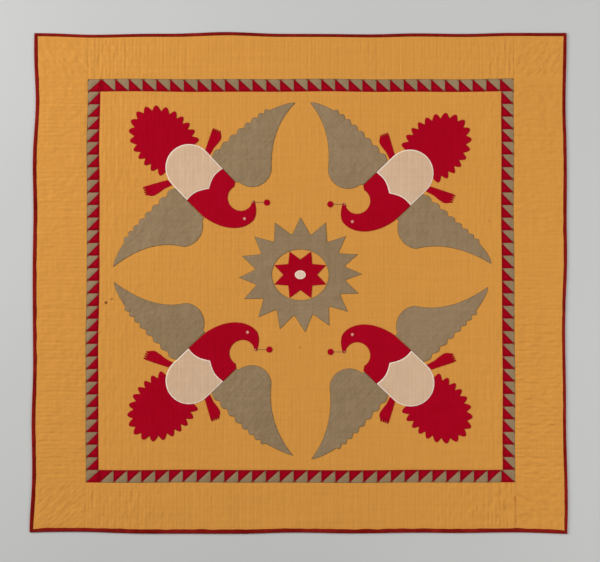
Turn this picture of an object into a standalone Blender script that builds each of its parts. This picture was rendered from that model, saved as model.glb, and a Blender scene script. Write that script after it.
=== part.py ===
"""Applique quilt of four birds round a sun, laid flat with its face up.

The drawing is ruled in millimetres, with +Y towards the top edge of the design, and eased()
carries each of its points to where the stretched, slightly uneven cloth has it. The objects are
in metres, with the origin on the surface, under the middle of the quilt.
"""

import math

import bmesh
import bpy

MM = 0.001
GAP = 0.3

HALF_WIDTH = 1016.0
HALF_HEIGHT = 946.0
FRAME_LEFT, FRAME_RIGHT = -816.0, 810.0
FRAME_BOTTOM, FRAME_TOP = -759.0, 773.0
BAND_WIDTH = 48.0
CELLS = 7
CHANNEL = 30.5

# Heights above the surface: sewn grooves, crests between them, and the cloth laid on top.
GROOVE = 3.3
SEAM_CREST = 4.1
FIELD_CREST = 4.6
BORDER_CREST = 4.9
CLOTH = 1.1
ON_FIELD = GAP
ON_CLOTH = GAP + CLOTH + GAP

# The binding folds round the edge of the quilt, which is pressed thin inside it.
BINDING_FACE = 12.0
BINDING_CLOTH = 1.0
BINDING_TOP = 4.3
TONGUE_LOW = BINDING_CLOTH + GAP
TONGUE_HIGH = BINDING_TOP - BINDING_CLOTH - GAP
TONGUE_END = BINDING_CLOTH + 0.7

# The quilt is a little wider at its foot, and each edge wanders.
SPLAY = 0.0065
WANDER = [
    # edge, depth, waves along the edge, turn, how closely it keeps to the edge
    ("left", 2.6, 2.3, 0.6, 2),
    ("left", 1.3, 5.1, 2.1, 2),
    ("left", -4.1, 0.0, 1.57, 9),
    ("left", 3.6, 2.0, -2.71, 9),
    ("left", 2.3, 4.2, -1.24, 9),
    ("right", 2.4, 1.8, 3.5, 2),
    ("right", 1.4, 4.4, 0.9, 2),
    ("right", -9.2, 0.0, 1.57, 9),
    ("right", 5.2, 0.8, -0.2, 9),
    ("right", 4.3, 2.0, 0.28, 9),
    ("top", 2.2, 2.6, 1.2, 2),
    ("top", 1.2, 5.7, 0.2, 2),
    ("top", 2.7, 1.8, -3.03, 9),
    ("top", 3.6, 2.8, -1.92, 9),
    ("bottom", 1.6, 2.1, 4.0, 2),
    ("bottom", 1.1, 4.9, 1.7, 2),
    ("bottom", -5.5, 0.0, 1.57, 9),
    ("bottom", 3.6, 1.8, -0.57, 9),
    ("bottom", 4.0, 2.2, 1.88, 9),
]
EDGES = {"left": (0, -1), "right": (0, 1), "bottom": (1, -1), "top": (1, 1)}

BIRDS = [
    # name, tip of the fore wing, tip of the aft wing, middle x, middle y, turn in degrees,
    # mirrored in x, mirrored in y
    ("top_left", (75.0, 463.0), (52.0, 469.0), -411.0, 419.0, -2.6, 1, 1),
    ("top_right", (65.0, 455.0), (-6.0, 461.0), 396.0, 399.0, 0.0, -1, 1),
    ("bottom_left", (62.0, 478.0), (29.0, 471.0), -407.0, -356.0, 0.0, 1, -1),
    ("bottom_right", (46.0, 467.0), (17.0, 468.0), 395.5, -364.5, 0.0, -1, -1),
]
HEADING = -44.0
BODY_HALF = 90.5
BODY_END = -20.0
BODY_REACH = 94.0
NECK = 62.5
THROAT = 136.0
WINGS = {
    # side of the bird: (heel of the root, its front past the shoulder's middle, shoulder's
    # middle, its radius, where it starts in degrees, pull of the front edge)
    1: (6.0, -1.0, (113.0, 175.0), 75.0, -84.0, (42.0, 322.0)),
    -1: (-4.0, 36.0, (100.5, 172.0), 79.0, -62.0, (44.0, 290.0)),
}
BERRY, BERRY_RADIUS = (276.0, 125.0), 12.0
EYE, EYE_RADIUS = (262.0, 20.0), 6.2

MEDALLION = (-4.0, 29.5)
SUN_TIPS, SUN_NOTCHES, SUN_OPENING = (235.0, 219.0), (175.0, 158.0), (108.0, 96.0)
STAR_TIPS, STAR_NOTCHES = (107.2, 95.3), (65.0, 58.0)
STAR_CENTRE = (20.6, 16.4)
SUN_POINTS = 16
STAR_POINTS = 8

COLOURS = {
    # cloth: linear red, green, blue
    "cheddar": (0.60, 0.27, 0.058),
    "turkey_red": (0.35, 0.004, 0.012),
    "binding_red": (0.24, 0.004, 0.010),
    "olive_grey": (0.27, 0.18, 0.10),
    "cream": (0.62, 0.43, 0.29),
}


def clear_scene():
    for obj in list(bpy.data.objects):
        bpy.data.objects.remove(obj, do_unlink=True)


def evenly(start, end, parts):
    return [start + (end - start) * step / parts for step in range(parts + 1)]


COLUMNS = [-HALF_WIDTH, *evenly(FRAME_LEFT, FRAME_RIGHT, CELLS), HALF_WIDTH]
ROWS = [-HALF_HEIGHT, *evenly(FRAME_BOTTOM, FRAME_TOP, CELLS), HALF_HEIGHT]


def drift(x, y):
    """How far the cloth has crept at a point of the drawing: most at the edges, little inside."""
    u, v = x / HALF_WIDTH, y / HALF_HEIGHT
    crept = [-SPLAY * x * v, 0.0]
    for edge, depth, waves, turn, close in WANDER:
        axis, side = EDGES[edge]
        across, along = (u, v) if axis == 0 else (v, u)
        share = max(0.0, side * across) ** close
        crept[axis] += depth * share * math.sin(math.pi * waves * along + turn)
    return crept


def cell_of(value, lines):
    """The lattice cell that holds a value, and how far across the cell it lies."""
    index = 0
    while index < len(lines) - 2 and value > lines[index + 1]:
        index += 1
    return index, (value - lines[index]) / (lines[index + 1] - lines[index])


def crept_to(x, y):
    """The drawing's point after the cloth's creep, which runs straight between lattice lines."""
    column, s = cell_of(x, COLUMNS)
    row, t = cell_of(y, ROWS)
    for i, part_x in ((column, 1 - s), (column + 1, s)):
        for j, part_y in ((row, 1 - t), (row + 1, t)):
            dx, dy = drift(COLUMNS[i], ROWS[j])
            x += dx * part_x * part_y
            y += dy * part_x * part_y
    return x, y


def middle_of_edges():
    sides = [crept_to(side, y)[0] for side in (-HALF_WIDTH, HALF_WIDTH) for y in ROWS]
    ends = [crept_to(x, end)[1] for end in (-HALF_HEIGHT, HALF_HEIGHT) for x in COLUMNS]
    return (min(sides) + max(sides)) / 2, (min(ends) + max(ends)) / 2


MIDDLE = middle_of_edges()


def eased(x, y):
    crept_x, crept_y = crept_to(x, y)
    return crept_x - MIDDLE[0], crept_y - MIDDLE[1]


def cloth_material(name):
    material = bpy.data.materials.new(name)
    material.use_nodes = True
    shader = material.node_tree.nodes["Principled BSDF"]
    shader.inputs["Base Color"].default_value = (*COLOURS[name], 1.0)
    shader.inputs["Roughness"].default_value = 0.92
    material.diffuse_color = (*COLOURS[name], 1.0)
    return material


def add_object(name, data, collection, cloth):
    obj = bpy.data.objects.new(name, data)
    collection.objects.link(obj)
    if cloth:
        data.materials.append(cloth_material(cloth))
    return obj


def mapped_grid(columns, rows, place):
    """A grid with each crossing moved to place(column, row), which gives millimetres."""
    bm = bmesh.new()
    bmesh.ops.create_grid(bm, x_segments=columns, y_segments=rows, size=0.5)
    for vert in bm.verts:
        column = round((vert.co.x + 0.5) * columns)
        row = round((vert.co.y + 0.5) * rows)
        vert.co = [MM * value for value in place(column, row)]
    return bm


def mesh_of(bm, name):
    bmesh.ops.recalc_face_normals(bm, faces=bm.faces)
    mesh = bpy.data.meshes.new(name)
    bm.to_mesh(mesh)
    bm.free()
    return mesh


def add_panel(name, xs, ys, height, collection, cloth):
    """A quilted panel: its face in relief over the lines xs and ys, and a flat underside."""
    bm = mapped_grid(
        len(xs) - 1,
        len(ys) - 1,
        lambda i, j: (*eased(xs[i], ys[j]), height(i, j)),
    )
    rim = [edge for edge in bm.edges if edge.is_boundary]
    walls = bmesh.ops.extrude_edge_only(bm, edges=rim)["geom"]
    foot = [item for item in walls if isinstance(item, bmesh.types.BMVert)]
    for vert in foot:
        vert.co.z = 0.0
    hem = [item for item in walls if isinstance(item, bmesh.types.BMEdge) and item.is_boundary]
    under = bmesh.ops.contextual_create(bm, geom=hem)["faces"]
    bmesh.ops.triangulate(bm, faces=under, ngon_method="BEAUTY")
    return add_object(name, mesh_of(bm, name), collection, cloth)


def channel_lines(lines):
    """Splits each lattice cell into channels, with a line at every groove and every crest."""
    split = [lines[0]]
    for start, end in zip(lines, lines[1:]):
        strips = 2 * round((end - start) / CHANNEL)
        split += evenly(start, end, strips)[1:]
    return split


def within(lines, start, end):
    """The lattice lines between two seams, with half the gap kept at each seam."""
    inside = [line for line in lines if start < line < end]
    return [start + GAP / 2, *inside, end - GAP / 2]


def puffed(index, across, span):
    """Height of a border: crests swell between the seams and differ a little from each other."""
    if index % 2 == 0:
        return GROOVE
    swell = math.sin(math.pi * across / span)
    return SEAM_CREST + (BORDER_CREST - SEAM_CREST) * swell + 0.2 * math.sin(1.9 * index)


FIELD_LINES = channel_lines(within(COLUMNS, FRAME_LEFT + BAND_WIDTH, FRAME_RIGHT - BAND_WIDTH))


def field_height(x):
    """Height of the field's face, which rises and falls between its upright lines."""
    index, share = cell_of(x, FIELD_LINES)
    rising = share if index % 2 == 0 else 1 - share
    return GROOVE + (FIELD_CREST - GROOVE) * rising


def add_field(collection):
    ys = within(ROWS, FRAME_BOTTOM + BAND_WIDTH, FRAME_TOP - BAND_WIDTH)

    def height(i, j):
        return FIELD_CREST if i % 2 else GROOVE

    add_panel("centre_field", FIELD_LINES, ys, height, collection, "cheddar")


def add_bands(collection):
    inner_bottom, inner_top = FRAME_BOTTOM + BAND_WIDTH, FRAME_TOP - BAND_WIDTH
    bands = [
        # side, left, right, bottom, top
        ("left", FRAME_LEFT, FRAME_LEFT + BAND_WIDTH, inner_bottom, inner_top),
        ("right", FRAME_RIGHT - BAND_WIDTH, FRAME_RIGHT, inner_bottom, inner_top),
        ("bottom", FRAME_LEFT, FRAME_RIGHT, FRAME_BOTTOM, inner_bottom),
        ("top", FRAME_LEFT, FRAME_RIGHT, inner_top, FRAME_TOP),
    ]
    for side, left, right, bottom, top in bands:
        xs, ys = within(COLUMNS, left, right), within(ROWS, bottom, top)
        upright = side in ("left", "right")
        across = xs if upright else ys
        across.insert(1, (across[0] + across[-1]) / 2)

        def height(i, j):
            return SEAM_CREST if (i if upright else j) == 1 else GROOVE

        add_panel(f"sawtooth_{side}", xs, ys, height, collection, "turkey_red")


def add_borders(collection):
    """Side borders run the full height; the other two fit between them, past the frame."""
    lines = channel_lines([FRAME_BOTTOM, *ROWS[2:-2], FRAME_TOP])
    ys = [-HALF_HEIGHT, FRAME_BOTTOM - CHANNEL / 2, *lines, FRAME_TOP + CHANNEL / 2, HALF_HEIGHT]

    def side_height(i, j):
        if j in (0, 1, len(ys) - 2, len(ys) - 1):
            return SEAM_CREST
        return puffed(j, i, 2)

    for side, outer, seam in (
        ("left", -HALF_WIDTH, FRAME_LEFT - GAP / 2),
        ("right", HALF_WIDTH, FRAME_RIGHT + GAP / 2),
    ):
        xs = sorted([outer, (outer + seam) / 2, seam])
        yield add_panel(f"border_{side}", xs, ys, side_height, collection, "cheddar")

    xs = channel_lines(within(COLUMNS, FRAME_LEFT, FRAME_RIGHT))

    def end_height(i, j):
        return puffed(i, j, 2)

    for side, outer, seam in (
        ("bottom", -HALF_HEIGHT, FRAME_BOTTOM - GAP / 2),
        ("top", HALF_HEIGHT, FRAME_TOP + GAP / 2),
    ):
        rows = sorted([outer, (outer + seam) / 2, seam])
        yield add_panel(f"border_{side}", xs, rows, end_height, collection, "cheddar")


def along_side(side, inset, share, gap):
    """A point of an edge strip: so far in from the outer fold, and a share of the way along it."""
    axis, sign = EDGES[side]
    halves = (HALF_WIDTH, HALF_HEIGHT)
    lines = ROWS if axis == 0 else COLUMNS
    reach = halves[1 - axis] - inset - gap
    along = [-reach, *lines[1:-1], reach][share]
    point = [0.0, 0.0]
    point[axis] = sign * (halves[axis] - inset)
    point[1 - axis] = along
    return eased(*point)


def swept(name, profile, stations, gap):
    """A closed profile of insets and heights, carried past the stations along the edge."""
    bm = mapped_grid(
        len(profile),
        len(stations) - 1,
        lambda i, j: (
            *along_side(stations[j][0], profile[i % len(profile)][0], stations[j][1], gap),
            profile[i % len(profile)][1],
        ),
    )
    bmesh.ops.remove_doubles(bm, verts=bm.verts, dist=1e-6)
    bmesh.ops.holes_fill(bm, edges=bm.edges)
    return mesh_of(bm, name)


def add_binding(collection):
    """Each strip is one folded cloth: over the face, round the edge and back under."""
    inner_top = BINDING_TOP - BINDING_CLOTH
    fold = [
        # inset from the edge, height
        (BINDING_FACE, BINDING_TOP),
        (2.4, BINDING_TOP),
        (0.7, BINDING_TOP - 0.5),
        (0.0, BINDING_TOP - 1.5),
        (0.0, 1.5),
        (0.7, 0.5),
        (2.4, 0.0),
        (BINDING_FACE, 0.0),
        (BINDING_FACE, BINDING_CLOTH),
        (1.6, BINDING_CLOTH),
        (1.0, BINDING_CLOTH + 0.6),
        (1.0, inner_top - 0.6),
        (1.6, inner_top),
        (BINDING_FACE, inner_top),
    ]
    for side, (axis, _) in EDGES.items():
        stations = [(side, share) for share in range(len(ROWS if axis == 0 else COLUMNS))]
        mesh = swept(f"binding_{side}", fold, stations, GAP)
        add_object(f"binding_{side}", mesh, collection, "binding_red")


def binding_cutter(collection):
    """Room for the binding: a ring round the quilt that leaves only a thin tongue inside it."""
    room = [
        # inset from the edge, height
        (-6.0, -6.0),
        (BINDING_FACE + GAP, -6.0),
        (BINDING_FACE + GAP, TONGUE_LOW),
        (TONGUE_END, TONGUE_LOW),
        (TONGUE_END, TONGUE_HIGH),
        (BINDING_FACE + GAP, TONGUE_HIGH),
        (BINDING_FACE + GAP, 12.0),
        (-6.0, 12.0),
    ]
    stations = [("bottom", share) for share in range(len(COLUMNS) - 1)]
    stations += [("right", share) for share in range(len(ROWS) - 1)]
    stations += [("top", share) for share in range(len(COLUMNS) - 1, 0, -1)]
    stations += [("left", share) for share in range(len(ROWS) - 1, 0, -1)]

    stations.append(stations[0])
    mesh = swept("binding_room", room, stations, 0.0)
    cutter = add_object("binding_room", mesh, collection, None)
    cutter.hide_render = True
    cutter.display_type = "WIRE"
    return cutter


def arc(centre, radii, start, end, steps):
    """Points of an ellipse between two angles in degrees."""
    points = []
    for angle in evenly(math.radians(start), math.radians(end), steps):
        x = centre[0] + radii[0] * math.cos(angle)
        points.append((x, centre[1] + radii[1] * math.sin(angle)))
    return points


def bend(start, pull, end, t):
    """The point a share t of the way along a curve that leans towards pull."""
    keep = 1 - t
    x = keep * keep * start[0] + 2 * keep * t * pull[0] + t * t * end[0]
    y = keep * keep * start[1] + 2 * keep * t * pull[1] + t * t * end[1]
    return x, y


def petal(f):
    """Swell of one tooth of an edge, with f from 0 to 1 across it: round tip, round notch."""
    return math.sin(math.pi * f) ** 1.2


def neckline(shift):
    """Two shallow scoops that meet in a peak, from the -v side to the +v side."""
    points = []
    for s in evenly(-1.0, 1.0, 10):
        scoop = 23.0 * (1 - abs(s)) - 11.0 * math.sin(math.pi * abs(s))
        points.append((NECK + 3.5 * s + scoop + shift, BODY_HALF * s))
    return points


def body_outline():
    round_end = arc((BODY_END, 0.0), (BODY_REACH, BODY_HALF), 90.0, 270.0, 12)
    return round_end + neckline(0.0)


def tail_outline():
    """A long round of petals, widest near the body and cut back along its end."""
    middle, reach, half = -157.0, 157.0, 117.0
    petals, opening, depth = 17, 46.0, 20.0
    pitch = (360.0 - 2 * opening) / petals
    points = []
    for step in range(4 * petals + 1):
        share = math.radians(opening + pitch * step / 4)
        angle = share + 0.11 * math.sin(2 * share)
        cut = depth * (1 - petal(step % 4 / 4))
        points.append((middle + (reach - cut) * math.cos(angle), (half - cut) * math.sin(angle)))
    body = (BODY_REACH + GAP, BODY_HALF + GAP)
    cut_back = arc((BODY_END, 0.0), body, 225.0, 135.0, 6)
    start, end = (arc((BODY_END, 0.0), body, turn, turn, 1)[:1] for turn in (234.0, 126.0))
    return [*points, *start, *cut_back, *end]


def head_outline():
    """Neck and round head, with the blunt beak hooked back over an open bay."""
    beak = [(245.0, 92.0), (236.0, 94.5), (234.5, 86.0)]
    crown = arc((105.0, 35.0), (185.0, 127.0), -77.5, 3.0, 12)
    hook = [bend(crown[-1], (284.0, 70.0), beak[0], t) for t in (0.25, 0.5, 0.75)]
    bay = arc((194.0, 62.0), (49.0, 47.0), 16.0, -196.0, 14)
    edge = neckline(GAP)
    return [*edge[:1], *crown, *hook, *beak, *bay, (THROAT, BODY_HALF), *edge[:0:-1]]


def wing_outline(side, tip):
    """Round shoulder, long hollowed point, and a back edge of steps down to the root."""
    root = BODY_HALF + 2 * GAP
    heel, front, (middle_u, middle_v), radius, start, (pull_u, pull_v) = WINGS[side]
    middle_u += 0.35 * tip[0]
    shoulder = arc((middle_u, middle_v), (radius, radius), start, 40.0, 9)
    pull = (pull_u + 0.5 * tip[0], pull_v)
    lead = [bend(shoulder[-1], pull, tip, t) for t in (0.2, 0.4, 0.6, 0.8, 1.0)]
    turned = (0.7 * tip[0] - 25.0, 372.0)
    back = [bend(tip, (tip[0] - 20.0, 450.0), turned, t) for t in (0.25, 0.5, 0.75)]
    inward = (0.45 * turned[0] - 10.0, 275.0)
    steps = 8
    for point in range(4 * steps):
        u, v = bend(turned, inward, (heel, root), point / (4 * steps))
        swell = petal(point % 4 / 4)
        back.append((u - 10.0 * swell, v + 3.0 * swell))
    outline = [(middle_u + front, root), *shoulder, *lead, *back, (heel, root)]
    return [(u, side * v) for u, v in outline]


def leg_outline(side):
    """A leg that widens, most on its front side, to a foot of four short toes."""
    root = BODY_HALF + 2 * GAP
    back, length = (0.0, 1.0) if side > 0 else (15.0, 1.12)

    def at(distance, offset):
        reach = length * distance
        return -19.0 - back - 0.4 * reach + 0.917 * offset, root + 0.917 * reach + 0.4 * offset

    toes, foot = 4, 34.0
    outline = [(-31.0 - back, root), at(42.0, -14.0), at(84.0, -17.0)]
    for toe in range(toes):
        middle = foot * ((toe + 0.5) / toes - 0.5)
        outline += [at(93.0, middle - 2.2), at(93.0, middle + 2.2)]
        if toe < toes - 1:
            outline.append(at(86.5, middle + foot / toes / 2))
    outline += [at(84.0, 20.0), at(76.0, 25.5), at(66.0, 28.0), at(48.0, 24.0), at(26.0, 16.5)]
    outline.append((-5.0 - back, root))
    return [(u, side * v) for u, v in outline]


def on_oval(radii, degrees):
    angle = math.radians(degrees)
    return radii[0] * math.cos(angle), radii[1] * math.sin(angle)


def sun_outline():
    """Sixteen long points that swing a little off an even spacing."""
    pitch = 360.0 / SUN_POINTS
    points = []
    for point in range(SUN_POINTS):
        around = math.radians(pitch * point)
        swing = 2.6 * math.sin(around + 0.4) + 2.2 * math.sin(2 * around + 0.1)
        turn = pitch * point + 2.0 - swing
        for step, radii in ((0.0, SUN_TIPS), (10.3, SUN_NOTCHES), (12.2, SUN_NOTCHES)):
            points.append(on_oval(radii, turn + step))
    return points


def star_outline():
    pitch = 180.0 / STAR_POINTS
    radii = (STAR_TIPS, STAR_NOTCHES)
    return [on_oval(radii[step % 2], pitch * (step + 1)) for step in range(2 * STAR_POINTS)]


def filled(outlines, name):
    """The flat cut cloth inside the first outline and outside any others, in a bmesh."""
    curve = bpy.data.curves.new(name, "CURVE")
    curve.dimensions = "2D"
    curve.fill_mode = "BOTH"
    for outline in outlines:
        spline = curve.splines.new("POLY")
        spline.points.add(len(outline) - 1)
        for point, (x, y) in zip(spline.points, outline):
            point.co = (x * MM, y * MM, 0.0, 1.0)
        spline.use_cyclic_u = True
    drawn = bpy.data.objects.new(name, curve)
    bpy.context.scene.collection.objects.link(drawn)
    graph = bpy.context.evaluated_depsgraph_get()
    mesh = bpy.data.meshes.new_from_object(drawn.evaluated_get(graph))
    bm = bmesh.new()
    bm.from_mesh(mesh)
    bmesh.ops.remove_doubles(bm, verts=bm.verts, dist=1e-6)
    bmesh.ops.dissolve_limit(bm, angle_limit=0.01, verts=bm.verts, edges=bm.edges)
    bpy.data.objects.remove(drawn)
    bpy.data.curves.remove(curve)
    bpy.data.meshes.remove(mesh)
    return bm


def add_applique(name, outlines, lift, collection, cloth):
    """Cut cloth that follows the channels of the field, its underside lifted so far off them."""
    bm = filled(outlines, name)
    for line in FIELD_LINES:
        everything = [*bm.verts, *bm.edges, *bm.faces]
        plane = (line * MM, 0.0, 0.0)
        bmesh.ops.bisect_plane(bm, geom=everything, dist=1e-6, plane_co=plane, plane_no=(1, 0, 0))
    for vert in bm.verts:
        x, y = vert.co.x / MM, vert.co.y / MM
        vert.co = [MM * value for value in (*eased(x, y), field_height(x) + lift)]
    raised = bmesh.ops.extrude_face_region(bm, geom=bm.faces[:])["geom"]
    top = [item for item in raised if isinstance(item, bmesh.types.BMVert)]
    bmesh.ops.translate(bm, verts=top, vec=(0.0, 0.0, CLOTH * MM))
    add_object(name, mesh_of(bm, name), collection, cloth)


def on_bird(outline, middle_x, middle_y, turn, mirror_x, mirror_y):
    """Turns a bird's own u (tail to head) and v into the drawing's x and y."""
    heading = math.radians(HEADING + turn)
    cos, sin = math.cos(heading), math.sin(heading)
    placed = []
    for u, v in outline:
        x = middle_x + mirror_x * (u * cos - v * sin)
        placed.append((x, middle_y + mirror_y * (u * sin + v * cos)))
    return placed


def add_bird(name, fore_tip, aft_tip, spot, collection):
    berry = arc(BERRY, (BERRY_RADIUS, BERRY_RADIUS), 0.0, 330.0, 11)
    eye = arc(EYE, (EYE_RADIUS, EYE_RADIUS), 0.0, 324.0, 9)
    pieces = [
        # piece, outline, lift off the field, cloth
        ("tail", tail_outline(), ON_FIELD, "turkey_red"),
        ("body", body_outline(), ON_FIELD, "cream"),
        ("head", head_outline(), ON_FIELD, "turkey_red"),
        ("wing_fore", wing_outline(1, fore_tip), ON_FIELD, "olive_grey"),
        ("wing_aft", wing_outline(-1, aft_tip), ON_FIELD, "olive_grey"),
        ("leg_fore", leg_outline(1), ON_FIELD, "turkey_red"),
        ("leg_aft", leg_outline(-1), ON_FIELD, "turkey_red"),
        ("berry", berry, ON_FIELD, "turkey_red"),
        ("eye", eye, ON_CLOTH, "cream"),
    ]
    for piece, outline, lift, cloth in pieces:
        placed = on_bird(outline, *spot)
        add_applique(f"{piece}_{name}", [placed], lift, collection, cloth)


def add_medallion(collection):
    def centred(outline):
        return [(MEDALLION[0] + x, MEDALLION[1] + y) for x, y in outline]

    hole = centred(arc((0.0, 0.0), SUN_OPENING, 0.0, 348.75, 31))
    sun = [centred(sun_outline()), hole]
    add_applique("sun_ring", sun, ON_FIELD, collection, "olive_grey")
    star = centred(star_outline())
    add_applique("star", [star], ON_FIELD, collection, "turkey_red")
    oval = centred(arc((0.0, 0.0), STAR_CENTRE, 0.0, 342.0, 19))
    add_applique("star_centre", [oval], ON_CLOTH, collection, "cream")


def build():
    clear_scene()
    quilt = bpy.data.collections.new("applique_quilt")
    cutters = bpy.data.collections.new("cutters")
    for collection in (quilt, cutters):
        bpy.context.scene.collection.children.link(collection)

    add_field(quilt)
    add_bands(quilt)
    room = binding_cutter(cutters)
    for border in add_borders(quilt):
        cut = border.modifiers.new("room for binding", "BOOLEAN")
        cut.operation = "DIFFERENCE"
        cut.object = room
    add_binding(quilt)
    for name, fore_tip, aft_tip, *spot in BIRDS:
        add_bird(name, fore_tip, aft_tip, spot, quilt)
    add_medallion(quilt)


build()
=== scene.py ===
import math
from bisect import bisect_right

import bmesh
import bpy
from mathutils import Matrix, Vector, noise


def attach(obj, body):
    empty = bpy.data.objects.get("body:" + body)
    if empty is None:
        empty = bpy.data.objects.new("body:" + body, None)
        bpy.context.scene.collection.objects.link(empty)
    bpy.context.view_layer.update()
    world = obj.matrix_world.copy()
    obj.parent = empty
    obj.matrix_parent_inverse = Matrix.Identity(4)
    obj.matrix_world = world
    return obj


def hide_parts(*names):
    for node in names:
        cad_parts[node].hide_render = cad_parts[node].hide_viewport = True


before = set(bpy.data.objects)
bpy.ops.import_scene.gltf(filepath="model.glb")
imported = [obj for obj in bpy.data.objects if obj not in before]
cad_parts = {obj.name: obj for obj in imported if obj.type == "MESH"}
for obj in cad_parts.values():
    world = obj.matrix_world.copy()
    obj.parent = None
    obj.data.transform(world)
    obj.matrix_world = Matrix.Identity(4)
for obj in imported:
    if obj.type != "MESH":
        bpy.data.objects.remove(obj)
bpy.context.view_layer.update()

# Centre field

# The ground of the quilt is one panel of cheddar-yellow cotton over thin wadding and a back cloth.
# It is hand quilted in upright lines, a firm one at about every 30 mm and a slacker one between,
# and the whole top is drawn a little out of true by washing and use.

MM = 0.001
GAP = 0.3

HALF_WIDTH, HALF_HEIGHT = 1016.0, 946.0
FRAME_LEFT, FRAME_RIGHT = -816.0, 810.0
FRAME_BOTTOM, FRAME_TOP = -759.0, 773.0
BAND_WIDTH = 48.0
INNER_LEFT, INNER_RIGHT = FRAME_LEFT + BAND_WIDTH, FRAME_RIGHT - BAND_WIDTH
INNER_BOTTOM, INNER_TOP = FRAME_BOTTOM + BAND_WIDTH, FRAME_TOP - BAND_WIDTH
CELLS = 7
CHANNEL = 30.5
GROOVE = 3.3
FIELD_RISE = 1.3
FIELD_STAND = 0.35
SEAM_REACH = 14.0

# The quilt narrows by this share towards its top, and its edges wander in slow waves, in mm.
SPLAY = 0.0065
WANDER = [
    # edge, depth, waves along the edge, turn, how closely it keeps to the edge
    ("left", 2.6, 2.3, 0.6, 2),
    ("left", 1.3, 5.1, 2.1, 2),
    ("left", -4.1, 0.0, 1.57, 9),
    ("left", 3.6, 2.0, -2.71, 9),
    ("left", 2.3, 4.2, -1.24, 9),
    ("right", 2.4, 1.8, 3.5, 2),
    ("right", 1.4, 4.4, 0.9, 2),
    ("right", -9.2, 0.0, 1.57, 9),
    ("right", 5.2, 0.8, -0.2, 9),
    ("right", 4.3, 2.0, 0.28, 9),
    ("top", 2.2, 2.6, 1.2, 2),
    ("top", 1.2, 5.7, 0.2, 2),
    ("top", 2.7, 1.8, -3.03, 9),
    ("top", 3.6, 2.8, -1.92, 9),
    ("bottom", 1.6, 2.1, 4.0, 2),
    ("bottom", 1.1, 4.9, 1.7, 2),
    ("bottom", -5.5, 0.0, 1.57, 9),
    ("bottom", 3.6, 1.8, -0.57, 9),
    ("bottom", 4.0, 2.2, 1.88, 9),
]
EDGES = {"left": (0, -1), "right": (0, 1), "bottom": (1, -1), "top": (1, 1)}
OFF_MIDDLE = (-10.70, -2.40)

# The cloth also sways a little at random, seeded so that each run gives the same quilt.
SWAY_SEED = 1796123196
noise.seed_set(SWAY_SEED)

# Creases of the cloth, each placed where it shows.
CREASES = [
    # middle x, middle y, turn in degrees, length, half width, rise (a trough is negative)
    (-773, 834, 90, 84, 5.5, -1.5),
    (-688, 840, 86, 60, 5.0, -1.0),
    (-619, 830, 100, 76, 5.5, -1.2),
    (-655, 832, 88, 52, 6.0, 0.7),
    (-483, 838, 84, 70, 5.0, -0.9),
    (-893, 857, -40, 44, 6.0, -1.3),
    (-849, 848, -48, 50, 6.0, -1.2),
    (-866, 866, -42, 40, 6.0, 0.9),
    (-954, 743, -4, 60, 7.0, -0.8),
    (-930, 560, 2, 70, 8.0, 0.9),
    (891, -458, 0, 132, 5.0, -1.5),
    (893, -474, 2, 128, 4.5, -1.1),
    (905, -492, 0, 100, 5.0, -0.9),
    (893, -544, -3, 134, 5.0, -1.2),
    (861, -572, -2, 74, 5.0, -1.0),
    (848, -661, 0, 54, 5.0, -1.1),
    (718, -801, 90, 66, 5.5, -1.3),
    (657, -805, 88, 78, 5.0, -1.0),
    (756, -862, 92, 64, 5.0, -1.1),
    (790, -868, 84, 54, 5.0, -0.9),
    (847, -884, 42, 46, 6.0, -1.4),
    (926, -868, -30, 84, 7.0, -1.1),
    (921, 51, -6, 66, 6.0, -1.2),
    (906, -28, -2, 150, 5.0, -1.0),
    (860, -234, 0, 70, 4.5, -1.5),
    (888, -279, -2, 70, 5.0, -0.9),
    (891, -289, 0, 124, 4.5, -1.2),
    (910, -314, 2, 94, 4.5, -0.9),
    (908, -335, 0, 44, 5.0, -1.5),
    (873, -348, -3, 40, 5.0, -1.1),
    (-638, -806, 90, 70, 5.5, -1.0),
    (-335, -812, 88, 58, 5.5, -0.9),
]

# Where the stitching has drawn the cloth up hardest: the corners, and stretches of the borders.
DRAWN_UP = [
    # middle x, middle y, reach, strength
    (-900, 850, 210, 0.42),
    (-640, 860, 160, 0.08),
    (900, 860, 200, 0.85),
    (600, 860, 160, 0.06),
    (-930, -850, 230, 0.28),
    (-640, -850, 150, 0.25),
    (940, -860, 230, 1.20),
    (690, -850, 150, 0.70),
    (905, -420, 210, 1.00),
    (905, -150, 150, 0.60),
    (905, 250, 200, 0.60),
    (905, 560, 170, 0.70),
    (-915, 420, 330, 0.32),
    (-915, -300, 330, 0.26),
]
TURNED_CREASES = [
    (*row, math.cos(math.radians(row[2])), math.sin(math.radians(row[2]))) for row in CREASES
]


def evenly(start, end, parts):
    return [start + (end - start) * step / parts for step in range(parts + 1)]


COLUMNS = [-HALF_WIDTH, *evenly(FRAME_LEFT, FRAME_RIGHT, CELLS), HALF_WIDTH]
ROWS = [-HALF_HEIGHT, *evenly(FRAME_BOTTOM, FRAME_TOP, CELLS), HALF_HEIGHT]


def soft(share):
    """Eases a share in and out, and holds it between 0 and 1."""
    share = min(1.0, max(0.0, share))
    return share * share * (3.0 - 2.0 * share)


def waver(x, y, wide, high, draw):
    """Unevenness from about -0.5 to 0.5 that changes over stretches of so many mm."""
    return noise.noise(Vector((x / wide, y / high, draw)))


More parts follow.
